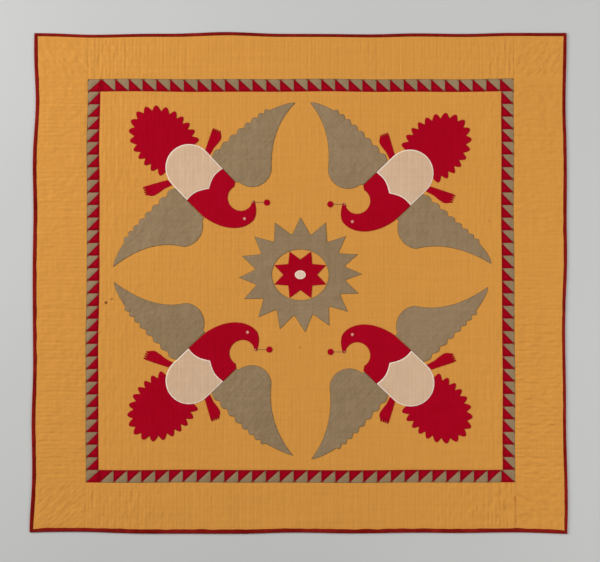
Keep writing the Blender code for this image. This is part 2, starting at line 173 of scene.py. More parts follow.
def eased(x, y):
    """Carries a point of the drawing to where the stretched, uneven cloth has it, in mm."""
    u, v = x / HALF_WIDTH, y / HALF_HEIGHT
    crept = [-SPLAY * x * v, 0.0]
    for edge, depth, waves, turn, close in WANDER:
        axis, side = EDGES[edge]
        across, along = (u, v) if axis == 0 else (v, u)
        share = max(0.0, side * across) ** close
        crept[axis] += depth * share * math.sin(math.pi * waves * along + turn)
    sway = noise.noise_vector(Vector((x / 170.0, y / 170.0, 4.0)))
    return (
        x + crept[0] + 1.1 * sway.x - OFF_MIDDLE[0],
        y + crept[1] + 1.1 * sway.y - OFF_MIDDLE[1],
    )


def drawn_up(x, y):
    """How hard the stitching has drawn the cloth up, from 0 over most of it to about 1."""
    drawn = 0.0
    for middle_x, middle_y, reach, strength in DRAWN_UP:
        away = ((x - middle_x) ** 2 + (y - middle_y) ** 2) / (reach * reach)
        if away < 6.0:
            drawn += strength * math.exp(-away)
    return drawn


def along_lines(x, y):
    """A place as the way across the stitched lines and along them, and how far the grain holds."""
    past_side = max(FRAME_LEFT - x, x - FRAME_RIGHT)
    past_end = max(FRAME_BOTTOM - y, y - FRAME_TOP)
    if past_side > 0.0 and past_end > 0.0:
        lean_x, lean_y = math.copysign(0.66, x), math.copysign(0.75, y)
        return x * lean_y - y * lean_x, x * lean_x + y * lean_y, soft(past_end / 16.0)
    if past_side > 0.0:
        return y, x, soft(-past_end / 16.0)
    return x, y, 1.0


def lie(x, y):
    """How far the face stands off its level: the slow roll of the cloth, and its creases."""
    off = 0.8 * waver(x, y, 240.0, 200.0, 7.0)
    off += 0.5 * waver(x, y, 66.0, 58.0, 2.0)
    across, along, held = along_lines(x, y)
    rumpled = 0.50 * waver(across, along, 15.0, 34.0, 31.0)
    rumpled += 0.35 * waver(across, along, 9.0, 17.0, 17.0)
    off += rumpled * (0.7 + 5.0 * held * drawn_up(x, y))
    for middle_x, middle_y, _, length, width, rise, cos, sin in TURNED_CREASES:
        dx, dy = x - middle_x, y - middle_y
        if abs(dx) > length or abs(dy) > length:
            continue
        along = 2.0 * (dx * cos + dy * sin) / length
        across = (dy * cos - dx * sin) / width
        if abs(along) < 1.0 and abs(across) < 3.0:
            off += rise * (1.0 - along * along) ** 2 * math.exp(-across * across)
    return off


def channel_lines(lines):
    """Splits each part of the panel evenly, with a firm line and a slack one in turn."""
    split = [lines[0]]
    for start, end in zip(lines, lines[1:]):
        split += evenly(start, end, 2 * round((end - start) / CHANNEL))[1:]
    return split


def within(lines, start, end):
    inside = [line for line in lines if start < line < end]
    return [start + GAP / 2, *inside, end - GAP / 2]


def counted(lines, value):
    """A place across the stitched lines, counted in lines: firm ones are even, slack ones odd."""
    index = min(len(lines) - 2, max(0, bisect_right(lines, value) - 1))
    return index + (value - lines[index]) / (lines[index + 1] - lines[index])


def swell(count):
    """Swell of the wadding between two stitched lines, 0 on either and 1 midway."""
    return 1.0 - abs(2.0 * (count % 1.0) - 1.0) ** 2.4


def puff(count, x, y):
    """Relief of the quilting from 0 to about 1, uneven as hand stitching leaves it."""
    pulled = 0.28 + 0.60 * drawn_up(x, y)
    pulled += 0.55 * waver(x, y, 70.0, 110.0, 3.0)
    pulled += 0.35 * waver(x, y, 17.0, 21.0, 9.0)
    return max(0.06, pulled) * (0.42 * swell(count / 2.0) + 0.58 * swell(count))


FIELD_SIDES = (
    INNER_LEFT + GAP / 2,
    INNER_RIGHT - GAP / 2,
    INNER_BOTTOM + GAP / 2,
    INNER_TOP - GAP / 2,
)
FIELD_LINES = channel_lines(within(COLUMNS, INNER_LEFT, INNER_RIGHT))


def field_face(x, y):
    left, right, bottom, top = FIELD_SIDES
    seam = soft(min(x - left, right - x, y - bottom, top - y) / SEAM_REACH)
    raised = puff(counted(FIELD_LINES, x), x, y)
    return GROOVE + FIELD_RISE * raised * (0.25 + 0.75 * seam) + lie(x, y) + FIELD_STAND


def field_stitching(x, y, middle):
    return counted(FIELD_LINES, x), y * MM


def finer(lines, parts):
    """Each stretch between two lines split evenly, for a grid that can carry the relief."""
    split = [lines[0]]
    for start, end in zip(lines, lines[1:]):
        split += evenly(start, end, parts)[1:]
    return split


def finished(bm, name, *cloths):
    """Turns a finished bmesh into a piece at the origin, faces outwards and shaded soft."""
    bmesh.ops.recalc_face_normals(bm, faces=bm.faces)
    mesh = bpy.data.meshes.new(name)
    bm.to_mesh(mesh)
    bm.free()
    if "drawn" in mesh.attributes:
        mesh.attributes.remove(mesh.attributes["drawn"])
    for cloth in cloths:
        mesh.materials.append(cloth)
    mesh.shade_smooth()
    mesh.set_sharp_from_angle(angle=math.radians(50))
    piece = bpy.data.objects.new(name, mesh)
    bpy.context.scene.collection.objects.link(piece)
    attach(piece, "root")
    return piece


def mark_lines(bm, drawn, stitching):
    """Writes the count across the stitched lines, and the way along them, as a UV map."""
    lines = bm.loops.layers.uv.new("quilting")
    for patch in bm.faces:
        places = [corner.vert[drawn] for corner in patch.loops]
        middle = sum(places, Vector()) / len(places)
        for corner, place in zip(patch.loops, places):
            corner[lines].uv = stitching(place.x, place.y, middle)


def double(bm):
    """Doubles flat cloth with its sides, and gives the points of its upper layer."""
    raised = bmesh.ops.extrude_face_region(bm, geom=bm.faces[:])["geom"]
    return {item for item in raised if isinstance(item, bmesh.types.BMVert)}


def quilted_panel(name, xs, ys, face, under, stitching, cloth):
    """A panel in relief over the lines xs and ys, flat below, with its stitching as a UV map."""
    bm = bmesh.new()
    bmesh.ops.create_grid(bm, x_segments=len(xs) - 1, y_segments=len(ys) - 1, size=0.5)
    drawn = bm.verts.layers.float_vector.new("drawn")
    for vert in bm.verts:
        x = xs[round((vert.co.x + 0.5) * (len(xs) - 1))]
        y = ys[round((vert.co.y + 0.5) * (len(ys) - 1))]
        vert[drawn] = (x, y, 0.0)
        vert.co = [MM * value for value in (*eased(x, y), face(x, y))]
    mark_lines(bm, drawn, stitching)
    upper = double(bm)
    lower = [vert for vert in bm.verts if vert not in upper]
    for vert in lower:
        vert.co.z = MM * under(vert[drawn].x, vert[drawn].y)
    flat = [edge for edge in bm.edges if not upper.intersection(edge.verts)]
    bmesh.ops.dissolve_limit(bm, angle_limit=0.01, verts=lower, edges=flat)
    wide = [patch for patch in bm.faces if len(patch.verts) > 4]
    bmesh.ops.triangulate(bm, faces=wide, ngon_method="BEAUTY")
    return finished(bm, name, cloth)


def put(tree, kind, inputs=None, **settings):
    """Adds a shader node with its settings, and fills its inputs with values or with outputs."""
    node = tree.nodes.new(f"ShaderNode{kind}")
    for key, value in settings.items():
        setattr(node, key, value)
    for key, value in (inputs or {}).items():
        if isinstance(value, bpy.types.NodeSocket):
            tree.links.new(value, node.inputs[key])
        else:
            node.inputs[key].default_value = value
    return node


def sums(tree, operation, *values):
    return put(tree, "Math", dict(enumerate(values)), operation=operation).outputs[0]


def ramp(tree, value, low, high, start=0.0, end=1.0):
    """Carries a value from low to high softly over to start and end."""
    inputs = {"Value": value, "From Min": low, "From Max": high, "To Min": start, "To Max": end}
    return put(tree, "MapRange", inputs, interpolation_type="SMOOTHSTEP").outputs["Result"]


def tinted(tree, share, first, second):
    """Mixes two colours by a share from 0 to 1; it serves dyes and stains, and painted shade too.
    """
    mix = put(tree, "Mix", {0: share, 6: first, 7: second}, data_type="RGBA", clamp_factor=True)
    return mix.outputs[2]


def mottle(tree, place, stretch, size, detail):
    """Cloudy variation from 0 to 1 over stretches of so many metres."""
    scale = [1.0 / (size * share) for share in stretch]
    mapped = put(tree, "Mapping", {"Vector": place, "Scale": scale}).outputs["Vector"]
    return put(tree, "TexNoise", {"Vector": mapped, "Scale": 1.0, "Detail": detail}).outputs["Fac"]


def new_effect(name, inputs, outputs):
    """An empty shader group, with its named inputs and outputs."""
    effect = bpy.data.node_groups.new(name, "ShaderNodeTree")
    for label, kind in inputs:
        effect.interface.new_socket(name=label, in_out="INPUT", socket_type=f"NodeSocket{kind}")
    for label, kind in outputs:
        effect.interface.new_socket(name=label, in_out="OUTPUT", socket_type=f"NodeSocket{kind}")
    given = effect.nodes.new("NodeGroupInput").outputs
    return effect, given, effect.nodes.new("NodeGroupOutput").inputs


def new_look(name):
    """An empty material, with its node tree and its shader."""
    look = bpy.data.materials.new(name)
    look.use_nodes = True
    return look, look.node_tree, look.node_tree.nodes["Principled BSDF"]


# Plain weave: warp over weft in turn, with thicker and paler threads here and there.
plain_weave, given, made = new_effect(
    "plain weave",
    [("Place", "Vector"), ("Thread", "Float"), ("Slub", "Float")],
    [("Shade", "Float"), ("Height", "Float")],
)
tree = plain_weave
spot = put(tree, "SeparateXYZ", {0: given["Place"]}).outputs
turn = sums(tree, "DIVIDE", 2.0 * math.pi, given["Thread"])
warp = sums(tree, "SINE", sums(tree, "MULTIPLY", spot["X"], turn))
weft = sums(tree, "SINE", sums(tree, "MULTIPLY", spot["Y"], turn))
over = sums(tree, "MULTIPLY", warp, weft)
threads = [
    mottle(tree, given["Place"], (1.0, 60.0, 60.0), 0.0022, 2.0),
    mottle(tree, given["Place"], (60.0, 1.0, 60.0), 0.0022, 2.0),
    mottle(tree, given["Place"], (1.0, 34.0, 34.0), 0.011, 2.0),
    mottle(tree, given["Place"], (34.0, 1.0, 34.0), 0.011, 2.0),
]
uneven = sums(tree, "ADD", threads[0], threads[1])
broad = sums(tree, "ADD", threads[2], threads[3])
both = sums(tree, "SUBTRACT", sums(tree, "ADD", uneven, broad), 2.0)
shade = sums(tree, "MULTIPLY_ADD", both, given["Slub"], 1.0)
# The Shade output also carries painted shade of the weave: a little lighter where a thread rides
# over the other, darker where it goes under.
tree.links.new(sums(tree, "MULTIPLY_ADD", over, 0.03, shade), made["Shade"])
tree.links.new(sums(tree, "MULTIPLY_ADD", over, 0.5, uneven), made["Height"])

# Uneven dye: broad and small clouds of paler and deeper cloth, and specks of husk in the cotton.
uneven_dye, given, made = new_effect(
    "uneven dye",
    [("Place", "Vector"), ("Specks", "Float")],
    [("Cloud", "Float"), ("Speck", "Float")],
)
tree = uneven_dye
clouds = [
    (mottle(tree, given["Place"], (1.0, 1.4, 1.0), 0.34, 3.0), 0.55),
    (mottle(tree, given["Place"], (1.0, 1.0, 1.0), 0.045, 4.0), 0.45),
]
cloud = sums(tree, "MULTIPLY", *clouds[0])
cloud = sums(tree, "MULTIPLY_ADD", *clouds[1], cloud)
tree.links.new(ramp(tree, cloud, 0.34, 0.66), made["Cloud"])
fleck = mottle(tree, given["Place"], (1.0, 1.0, 1.0), 0.006, 1.0)
flecks = ramp(tree, fleck, 0.70, 0.76)
tree.links.new(sums(tree, "MULTIPLY", flecks, given["Specks"]), made["Speck"])

# Hand quilting: the sunk line, the running stitches in it and the small tucks that they draw up.
hand_quilting, given, made = new_effect(
    "hand quilting",
    [("Lines", "Vector"), ("Stitch", "Float")],
    [("Sunk", "Float"), ("Thread", "Float"), ("Tuck", "Float")],
)
tree = hand_quilting
spot = put(tree, "SeparateXYZ", {0: given["Lines"]}).outputs
off = sums(tree, "PINGPONG", spot["X"], 0.5)
off_firm = sums(tree, "PINGPONG", spot["X"], 1.0)
firm = ramp(tree, off_firm, 0.0, 0.17, 1.0, 0.0)
slack = ramp(tree, off, 0.0, 0.13, 0.6, 0.0)
sunk = sums(tree, "MAXIMUM", firm, slack)
pace = sums(tree, "FRACT", sums(tree, "DIVIDE", spot["Y"], given["Stitch"]))
shown = sums(tree, "LESS_THAN", pace, 0.5)
in_line = ramp(tree, off, 0.018, 0.034, 1.0, 0.0)
tree.links.new(sunk, made["Sunk"])
tree.links.new(sums(tree, "MULTIPLY", shown, in_line), made["Thread"])
stretched = put(tree, "Mapping", {"Vector": given["Lines"], "Scale": (2.2, 105.0, 1.0)})
tucks = put(tree, "TexNoise", {"Vector": stretched.outputs[0], "Scale": 1.0, "Detail": 2.0})
near = ramp(tree, off, 0.0, 0.36, 1.0, 0.25)
tuck = sums(tree, "MULTIPLY", sums(tree, "SUBTRACT", tucks.outputs["Fac"], 0.5), near)
tree.links.new(tuck, made["Tuck"])


THREAD_WIDTH = 0.0009
STITCH_PACE = 0.0062


def cotton(
    name, dye, worn, groove_shade_and_speck, hem, hem_width=0.0016, slub=0.12, specks=0.35, tuck=0.9, crumpled=0.7
):
    """Plain cotton, paler in clouds of wear and flecked with husk, with painted shade in its
    stitched lines and its own hem tint along marked edges and seams.
    """
    dye, worn, groove_shade_and_speck, hem = ((*tint, 1.0) for tint in (dye, worn, groove_shade_and_speck, hem))
    cloth, tree, shader = new_look(name)
    place = put(tree, "TexCoord").outputs["Object"]
    lines = put(tree, "UVMap", uv_map="quilting").outputs["UV"]
    woven = {"Place": place, "Thread": THREAD_WIDTH, "Slub": slub}
    weave = put(tree, "Group", woven, node_tree=plain_weave).outputs
    clouds = put(tree, "Group", {"Place": place, "Specks": specks}, node_tree=uneven_dye).outputs
    quilted = {"Lines": lines, "Stitch": STITCH_PACE}
    sewn = put(tree, "Group", quilted, node_tree=hand_quilting).outputs
    colour = tinted(tree, clouds["Cloud"], dye, worn)
    # Painted shade: the stitched lines are painted a fifth of the way towards the darker tint, as
    # the shade that falls in them.
    colour = tinted(tree, sums(tree, "MULTIPLY", sewn["Sunk"], 0.20), colour, groove_shade_and_speck)
    colour = tinted(tree, clouds["Speck"], colour, groove_shade_and_speck)
    # Near cut edges and seams, as the from_edge attribute gives them, the colour turns to the hem
    # tint. Where that tint is darker, on the red, olive-grey and binding cotton, it is painted
    # shade along the seams and edges. On the cream it is a much paler rim. A piece without
    # from_edge, such as the cheddar panels, takes the hem tint all over.
    from_edge = put(tree, "Attribute", attribute_name="from_edge").outputs["Fac"]
    rim = ramp(tree, from_edge, hem_width * 0.4, hem_width * 1.5, 1.0, 0.0)
    colour = tinted(tree, rim, colour, hem)
    colour = tinted(tree, sums(tree, "MULTIPLY", sewn["Thread"], 0.5), colour, worn)
    shaded = put(tree, "VectorMath", {0: colour, "Scale": weave["Shade"]}, operation="SCALE")
    tree.links.new(shaded.outputs["Vector"], shader.inputs["Base Color"])
    rough = sums(tree, "MULTIPLY_ADD", weave["Height"], 0.08, 0.80)
    tree.links.new(rough, shader.inputs["Roughness"])
    shader.inputs["Specular IOR Level"].default_value = 0.03
    height = sums(tree, "MULTIPLY", weave["Height"], 0.05)
    height = sums(tree, "MULTIPLY_ADD", sewn["Tuck"], tuck, height)
    height = sums(tree, "MULTIPLY_ADD", sewn["Sunk"], -0.12, height)
    height = sums(tree, "MULTIPLY_ADD", sewn["Thread"], 0.12, height)
    crumple = mottle(tree, place, (1.0, 1.0, 1.0), 0.014, 3.0)
    height = sums(tree, "MULTIPLY_ADD", crumple, crumpled, height)
    bump = put(tree, "Bump", {"Height": height, "Distance": MM, "Strength": 0.9})
    tree.links.new(bump.outputs["Normal"], shader.inputs["Normal"])
    return cloth


CHEDDAR = {
    "dye": (0.635, 0.247, 0.034),
    "worn": (0.685, 0.280, 0.044),
    # Darker tint: painted shade in the stitched lines, and the tint of the specks of husk.
    "groove_shade_and_speck": (0.500, 0.172, 0.020),
    "hem": (0.720, 0.320, 0.062),
}
cheddar_cotton = cotton("cheddar cotton", tuck=1.2, **CHEDDAR)

# The field has two small brown stains near its left seam, and a few fainter marks.
STAINS = [
    # middle x, middle y, reach, strength
    (-742.0, -76.0, 7.5, 0.85),
    (-720.0, -62.0, 5.0, 0.60),
    (-4.0, -246.0, 6.0, 0.25),
    (716.0, 236.0, 5.0, 0.30),
    (-729.0, -63.0, 3.0, 0.35),
]
STAIN_BROWN = (0.16, 0.055, 0.012, 1.0)
FACE_HEIGHT, RAGGED = 4.0, 0.003
stained_cotton = cotton("stained cheddar cotton", tuck=1.1, **CHEDDAR)
tree = stained_cotton.node_tree
shader = tree.nodes["Principled BSDF"]
colour = shader.inputs["Base Color"].links[0].from_socket
place = put(tree, "TexCoord").outputs["Object"]
ragged = put(tree, "TexNoise", {"Vector": place, "Scale": 260.0, "Detail": 3.0}).outputs["Fac"]
for x, y, reach, strength in STAINS:
    spot_x, spot_y = eased(x, y)
    away = put(
        tree,
        "VectorMath",
        {0: place, 1: (spot_x * MM, spot_y * MM, FACE_HEIGHT * MM)},
        operation="DISTANCE",
    ).outputs["Value"]
    away = sums(tree, "MULTIPLY_ADD", ragged, 2.0 * RAGGED, away)
    inner, outer = reach * MM * 0.5 + RAGGED, reach * MM + 0.001 + RAGGED
    mark = ramp(tree, away, inner, outer, strength, 0.0)
    colour = tinted(tree, mark, colour, STAIN_BROWN)
tree.links.new(colour, shader.inputs["Base Color"])

FIELD_ROW = 8.0
LINE_PARTS = 4
bottom, top = FIELD_SIDES[2:]
field_ys = evenly(bottom, top, round((top - bottom) / FIELD_ROW))
centre_panel = quilted_panel(
    "centre_panel",
    finer(FIELD_LINES, LINE_PARTS),
    field_ys,
    field_face,
    lambda x, y: 0.0,
    field_stitching,
    stained_cotton,
)
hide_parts("centre_field")

# Sawtooth bands

# Four narrow bands frame the field, each pieced from half-square triangles of turkey-red and
# olive-grey cotton. The patches are seamed to each other, so each puffs up a little between seams,
# and the slant of the seams changes from band to band.

PATCH_RISE, PATCH_STAND = 1.5, 0.2
PATCH_GAP = 0.006
BANDS = [
    # side, left, right, bottom, top, units, red corner, red corner of the first and last unit
    ("left", FRAME_LEFT, INNER_LEFT, INNER_BOTTOM, INNER_TOP, 30, (1, 0), (1, 0), (1, 0)),
    ("right", INNER_RIGHT, FRAME_RIGHT, INNER_BOTTOM, INNER_TOP, 30, (0, 0), (0, 0), (0, 0)),
    ("bottom", FRAME_LEFT, FRAME_RIGHT, FRAME_BOTTOM, INNER_BOTTOM, 31, (0, 1), (1, 0), (0, 0)),
    ("top", FRAME_LEFT, FRAME_RIGHT, INNER_TOP, FRAME_TOP, 31, (0, 0), (1, 0), (0, 0)),
]

red_cotton = cotton(
    "turkey red cotton",
    dye=(0.400, 0.0006, 0.0115),
    worn=(0.435, 0.0012, 0.0150),
    # Darker tint: painted shade in the stitched lines and the specks' tint; hem tint: painted
    # shade along the seams and edges.
    groove_shade_and_speck=(0.330, 0.0005, 0.0090),
    hem=(0.285, 0.0006, 0.0080),
    slub=0.07,
    specks=0.1,
    tuck=0.4,
    crumpled=0.4,
)
olive_cotton = cotton(
    "olive grey cotton",
    dye=(0.296, 0.201, 0.108),
    worn=(0.338, 0.232, 0.132),
    # Darker tint: painted shade in the stitched lines and the specks' tint; hem tint: painted
    # shade along the seams and edges.
    groove_shade_and_speck=(0.205, 0.138, 0.070),
    hem=(0.180, 0.122, 0.062),
    slub=0.16,
    specks=0.4,
    tuck=0.8,
    crumpled=1.3,
)


def patches(name, units, cloth, across):
    """Triangular patches of one cloth, seamed edge to edge, each puffed between its seams."""
    bm = bmesh.new()
    shares = bm.verts.layers.float_vector.new("shares")
    for left, right, bottom, top, (at_right, at_top) in units:
        xs, ys = (left, right), (bottom, top)
        corners = [(at_right, at_top), (1 - at_right, at_top), (at_right, 1 - at_top)]
        middle_x = sum(xs[i] for i, _ in corners) / 3.0
        middle_y = sum(ys[j] for _, j in corners) / 3.0
        cut = []
        for share, (i, j) in enumerate(corners):
            x = xs[i] - PATCH_GAP * (xs[i] - middle_x)
            y = ys[j] - PATCH_GAP * (ys[j] - middle_y)
            vert = bm.verts.new((x, y, 0.0))
            vert[shares] = [float(share == other) for other in range(3)]
            cut.append(vert)
        bmesh.ops.contextual_create(bm, geom=cut)
    bmesh.ops.subdivide_edges(bm, edges=bm.edges[:], cuts=5, use_grid_fill=True)
    from_edge = bm.verts.layers.float.new("from_edge")
    drawn = bm.verts.layers.float_vector.new("drawn")
    lines = bm.loops.layers.uv.new("quilting")
    for vert in bm.verts:
        x, y = vert.co.x, vert.co.y
        least = max(0.0, min(vert[shares]))
        vert[from_edge] = least * across * MM
        vert[drawn] = (x, y, 0.0)
        puffed = 1.0 + 0.3 * waver(x, y, 30.0, 30.0, 5.0)
        puffed *= PATCH_RISE * math.sqrt(3.0 * least)
        height = GROOVE + PATCH_STAND + puffed + lie(x, y)
        vert.co = [MM * value for value in (*eased(x, y), height)]
    for patch in bm.faces:
        for corner in patch.loops:
            corner[lines].uv = (0.5 + 0.05 * corner.vert[shares].x, corner.vert[drawn].y * MM)
    upper = double(bm)
    for vert in bm.verts:
        if vert not in upper:
            vert.co.z = 0.0
    bm.verts.layers.float_vector.remove(shares)
    return finished(bm, name, cloth)


for side, left, right, bottom, top, count, red, first, last in BANDS:
    upright = side in ("left", "right")
    span = evenly(bottom, top, count) if upright else evenly(left, right, count)
    red_units, olive_units = [], []
    for place, (start, end) in enumerate(zip(span, span[1:])):
        if upright:
            unit = (left + GAP / 2, right - GAP / 2, start, end)
        else:
            unit = (start, end, bottom + GAP / 2, top - GAP / 2)
        at_right, at_top = first if place == 0 else last if place == count - 1 else red
        red_units.append((*unit, (at_right, at_top)))
        olive_units.append((*unit, (1 - at_right, 1 - at_top)))
    # Painted shade: the red turns to its darker hem tint far in from its seams, the olive only
    # beside them.
    for dye, units, cloth, across in (
        ("red", red_units, red_cotton, 8.0),
        ("olive", olive_units, olive_cotton, 90.0),
    ):
        patched = patches(f"{dye}_patches_{side}", units, cloth, across)
        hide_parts(f"sawtooth_{side}")
        size = (BAND_WIDTH * MM, (span[-1] - span[0]) * MM)

# Outer borders

# Four wide strips of the same cheddar cotton, the side ones running the full height. They are
# quilted straight across their width, and slantwise in the four corners, and pucker most there.

BORDER_RISE, BORDER_STAND = 1.9, 0.4
BINDING_FACE = 12.0
TONGUE_END = 1.7
TONGUE_LOW, TONGUE_HIGH = 1.35, 2.95
CORNER_STEP, SIDE_STEP, END_STEP = 4.6, 5.0, 7.0

side_lines = channel_lines([FRAME_BOTTOM, *ROWS[2:-2], FRAME_TOP])
END_LINES = channel_lines(within(COLUMNS, FRAME_LEFT, FRAME_RIGHT))


def corner_count(x, y):
    """In a corner the lines run out along the mitre: the count across them, and the way along."""
    frame_x = FRAME_LEFT if x < 0 else FRAME_RIGHT
    frame_y = FRAME_BOTTOM if y < 0 else FRAME_TOP
    wide, high = HALF_WIDTH - abs(frame_x), HALF_HEIGHT - abs(frame_y)
    out_x, out_y = abs(x - frame_x), abs(y - frame_y)
    slant = math.hypot(wide, high)
    across, along = out_x * high - out_y * wide, out_x * wide + out_y * high
    return across / slant / (CHANNEL / 2.0), along / slant


def side_stitching(x, y, middle):
    if FRAME_BOTTOM < middle.y < FRAME_TOP:
        return counted(side_lines, y), x * MM
    count, along = corner_count(x, y)
    return count, along * MM


def end_stitching(x, y, middle):
    return counted(END_LINES, x), y * MM


def border_face(x, y, count, pinned):
    """Height of a border, held down along its seams and thin where it enters the binding."""
    inset = min(HALF_WIDTH - abs(x), HALF_HEIGHT - abs(y))
    if inset < BINDING_FACE + 0.2:
        return TONGUE_HIGH
    bound = soft((inset - BINDING_FACE) / 18.0)
    held = (0.2 + 0.8 * soft(pinned / SEAM_REACH)) * (0.3 + 0.7 * bound)
    raised = BORDER_RISE * held * puff(count, x, y)
    return GROOVE + BORDER_STAND + raised + bound * lie(x, y)


def side_face(x, y):
    pinned = min(abs(x - FRAME_LEFT), abs(x - FRAME_RIGHT))
    if FRAME_BOTTOM < y < FRAME_TOP:
        return border_face(x, y, counted(side_lines, y), pinned)
    start = FRAME_BOTTOM if y < 0 else FRAME_TOP
    return border_face(x, y, corner_count(x, y)[0], min(pinned, abs(y - start) + 4.0))


def end_face(x, y):
    from_ends = min(abs(y - FRAME_BOTTOM), abs(y - FRAME_TOP))
    from_sides = min(abs(x - FRAME_LEFT), abs(x - FRAME_RIGHT))
    return border_face(x, y, counted(END_LINES, x), min(from_ends, from_sides))


def border_under(x, y):
    inset = min(HALF_WIDTH - abs(x), HALF_HEIGHT - abs(y))
    return TONGUE_LOW if inset < BINDING_FACE + 0.2 else 0.0


def to_the_edge(half, seam, step):
    """Lines from a seam out to the binding and on into it, from the least to the greatest."""
    sign = 1.0 if seam > 0 else -1.0
    free = half - BINDING_FACE - 0.4
    inner = evenly(abs(seam), free, round((free - abs(seam)) / step))
    inset = [BINDING_FACE + 0.1, 7.0, TONGUE_END]
    return sorted(sign * value for value in [*inner, *(half - gap for gap in inset)])


side_ys = [
    *to_the_edge(HALF_HEIGHT, FRAME_BOTTOM, CORNER_STEP)[:-1],
    *finer(side_lines, LINE_PARTS),
    *to_the_edge(HALF_HEIGHT, FRAME_TOP, CORNER_STEP)[1:],
]
end_xs = finer(END_LINES, LINE_PARTS)
SEAMS = [
    ("left", FRAME_LEFT - GAP / 2),
    ("right", FRAME_RIGHT + GAP / 2),
    ("bottom", FRAME_BOTTOM - GAP / 2),
    ("top", FRAME_TOP + GAP / 2),
]
for side, seam in SEAMS:
    upright = side in ("left", "right")
    half, step = (HALF_WIDTH, SIDE_STEP) if upright else (HALF_HEIGHT, END_STEP)
    outward = to_the_edge(half, seam, step)
    border = quilted_panel(
        f"{side}_border_panel",
        outward if upright else end_xs,
        side_ys if upright else outward,
        side_face if upright else end_face,
        border_under,
        side_stitching if upright else end_stitching,
        cheddar_cotton,
    )
    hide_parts(f"border_{side}")

# Sun and star

# The middle is a ring of olive-grey cotton with sixteen points, laid on the field with its edges
# turned under and stitched down, then a red star in its opening and a cream oval on the star.

MEDALLION = (-4.0, 29.5)
SUN_POINTS, STAR_POINTS = 16, 8
SUN_TIPS, SUN_NOTCHES, SUN_OPENING = (235.0, 219.0), (175.0, 158.0), (108.0, 96.0)
STAR_TIPS, STAR_NOTCHES = (107.2, 95.3), (65.0, 58.0)
STAR_CENTRE = (20.6, 16.4)
RING_PITCH = 17.0
THROUGH_STAND, THROUGH_RISE = 1.7, 1.1
LEAST_THICK, OVAL_THICK = 0.6, 0.9

cream_cotton = cotton(
    "cream cotton",
    dye=(0.695, 0.465, 0.300),
    worn=(0.740, 0.510, 0.335),
    # Darker tint: painted shade in the stitched lines and the specks' tint; hem tint: a much paler
    # rim along the turned edges.
    groove_shade_and_speck=(0.580, 0.380, 0.235),
    hem=(0.980, 0.830, 0.700),
    hem_width=0.0034,
    slub=0.10,
    specks=0.15,
    tuck=0.6,
)


def arc(centre, radii, start, end, steps):
    """Points of an ellipse between two angles in degrees."""
    points = []
    for angle in evenly(math.radians(start), math.radians(end), steps):
        x = centre[0] + radii[0] * math.cos(angle)
        points.append((x, centre[1] + radii[1] * math.sin(angle)))
    return points


def on_oval(radii, degrees):
    angle = math.radians(degrees)
    return radii[0] * math.cos(angle), radii[1] * math.sin(angle)


def sun_outline():
    """Sixteen long points that swing a little off an even spacing."""
    pitch = 360.0 / SUN_POINTS
    points = []
    for point in range(SUN_POINTS):
        around = math.radians(pitch * point)
        swing = 2.6 * math.sin(around + 0.4) + 2.2 * math.sin(2.0 * around + 0.1)
        turn = pitch * point + 2.0 - swing
        for step, radii in ((0.0, SUN_TIPS), (10.3, SUN_NOTCHES), (12.2, SUN_NOTCHES)):
            points.append(on_oval(radii, turn + step))
    return points


def star_outline():
    pitch = 180.0 / STAR_POINTS
    radii = (STAR_TIPS, STAR_NOTCHES)
    return [on_oval(radii[step % 2], pitch * (step + 1)) for step in range(2 * STAR_POINTS)]


def cut_area(outline):
    """Flat area inside an outline, in square millimetres."""
    turned = zip(outline, [*outline[1:], outline[0]])
    return abs(sum(a[0] * b[1] - b[0] * a[1] for a, b in turned)) / 2.0


def extent(outline):
    """Width and length of the cloth that a piece is cut from, in metres."""
    spans = [[point[axis] for point in outline] for axis in (0, 1)]
    return tuple(MM * (max(span) - min(span)) for span in spans)


HEM_THICK = 0.45
APPLIQUE_THICK = 1.25
TURNING = (1.2, 2.4)
PLAIN_GRID, FINE_GRID = (3.8, 8.0), (4.0, 4.0)


def cut_cloth(outlines, turnings):
    """Flat cloth inside the first outline and outside the others, ringed for its turned edge."""
    curve = bpy.data.curves.new("cut line", "CURVE")
    curve.dimensions = "2D"
    curve.fill_mode = "BOTH"
    for outline in outlines:
        spline = curve.splines.new("POLY")
        spline.points.add(len(outline) - 1)
        for point, (x, y) in zip(spline.points, outline):
            point.co = (x * MM, y * MM, 0.0, 1.0)
        spline.use_cyclic_u = True
    marked = bpy.data.objects.new("cut line", curve)
    bpy.context.scene.collection.objects.link(marked)
    graph = bpy.context.evaluated_depsgraph_get()
    mesh = bpy.data.meshes.new_from_object(marked.evaluated_get(graph))
    bm = bmesh.new()
    bm.from_mesh(mesh)
    bpy.data.objects.remove(marked)
    bpy.data.curves.remove(curve)
    bpy.data.meshes.remove(mesh)
    bmesh.ops.remove_doubles(bm, verts=bm.verts, dist=1e-6)
    bmesh.ops.dissolve_limit(bm, angle_limit=0.002, verts=bm.verts, edges=bm.edges)
    from_edge = bm.verts.layers.float.new("from_edge")
    inner, depth = bm.faces[:], 0.0
    for turning in turnings:
        bmesh.ops.inset_region(
            bm, faces=inner, thickness=turning * MM, use_boundary=True, use_even_offset=True
        )
        depth += turning * MM
        for vert in {vert for face in inner for vert in face.verts}:
            vert[from_edge] = depth
    return bm


